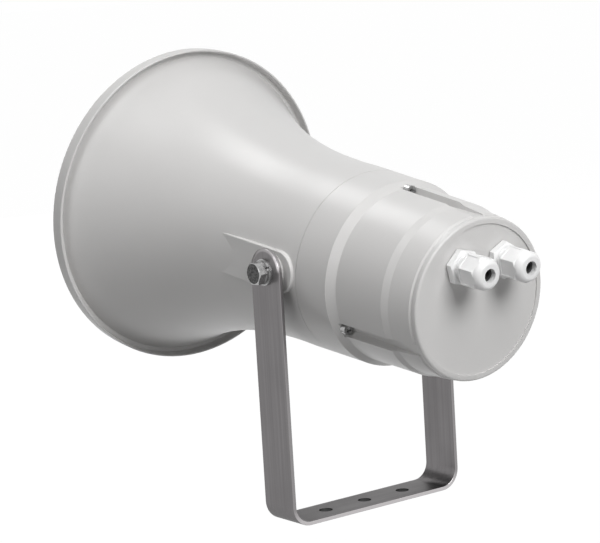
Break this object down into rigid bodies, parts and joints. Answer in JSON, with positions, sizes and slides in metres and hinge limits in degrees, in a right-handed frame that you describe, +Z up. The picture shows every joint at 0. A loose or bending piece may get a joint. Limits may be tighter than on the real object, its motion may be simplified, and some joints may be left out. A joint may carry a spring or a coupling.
{
  "type": "horn speaker",
  "caption": "Round re-entrant horn loudspeaker with a flared bell, stepped rear cover and cable glands, tilting on a U bracket.",
  "frame": {"origin": "centre of the middle hole in the bracket's base, on its underside", "axes": "+Z up from the base along the bracket's legs, +X along the base from leg to leg, mouth towards -Y, glands towards +Y"},
  "size_m": [0.2598, 0.4152, 0.3502],
  "materials": {
    "horn_plastic": "light grey moulded plastic, faint grain",
    "bracket_steel": "satin stainless steel strip",
    "fastener_steel": "stainless steel",
    "inner_steel": "zinc plated steel",
    "insert_brass": "turned brass",
    "seal_rubber": "black rubber",
    "gland_rubber": "black rubber",
    "gland_plastic": "pale grey polyamide",
    "inner_plastic": "light grey moulded plastic",
    "dome_metal": "thin rolled sheet",
    "copper_wire": "enamelled copper wire",
    "surround_cloth": "treated cloth",
    "ferrite": "ground ferrite",
    "core_steel": "laminated steel",
    "terminal_plastic": "pale polyamide"
  },
  "bodies": {
    "bracket": {"bracket": "bracket_steel"},
    "horn": {"bell": "horn_plastic", "bullet_reflector": "inner_plastic", "carrier_pillars": "inner_steel", "carrier_plate": "dome_metal", "cover_inserts": "insert_brass", "cover_screws": "fastener_steel", "cover_seal": "seal_rubber", "driver_screws": "inner_steel", "driver_spacer": "inner_plastic", "flat_washers": "fastener_steel", "gland_body_left": "gland_plastic", "gland_body_right": "gland_plastic", "gland_gasket_left": "gland_rubber", "gland_gasket_right": "gland_rubber", "gland_locknut_left": "gland_plastic", "gland_locknut_right": "gland_plastic", "gland_nut_left": "gland_plastic", "gland_nut_right": "gland_plastic", "gland_seal_left": "gland_rubber", "gland_seal_right": "gland_rubber", "magnet": "ferrite", "phase_plug": "inner_plastic", "pivot_bolts": "fastener_steel", "pivot_inserts": "insert_brass", "plate_screws": "inner_steel", "rear_cover": "horn_plastic", "spring_washers": "fastener_steel", "surround": "surround_cloth", "terminal_block": "terminal_plastic", "terminal_screws": "inner_steel", "throat_horn": "inner_plastic", "top_plate": "inner_steel", "transformer_core": "core_steel", "transformer_winding": "copper_wire", "yoke": "inner_steel"},
    "diaphragm": {"diaphragm": "dome_metal", "voice_coil": "copper_wire"}
  },
  "joints": [
    {"name": "tilt", "type": "hinge", "parent": "bracket", "child": "horn", "pos_m": [0, 0, 0.193], "axis": [1, 0, 0], "range_deg": [-120.5, 59.5]},
    {"name": "diaphragm_travel", "type": "slide", "parent": "horn", "child": "diaphragm", "axis": [0, 0.9914, -0.1305], "range_m": [-0.0005, 0.0005], "stiffness_N_per_m": 3000}
  ]
}
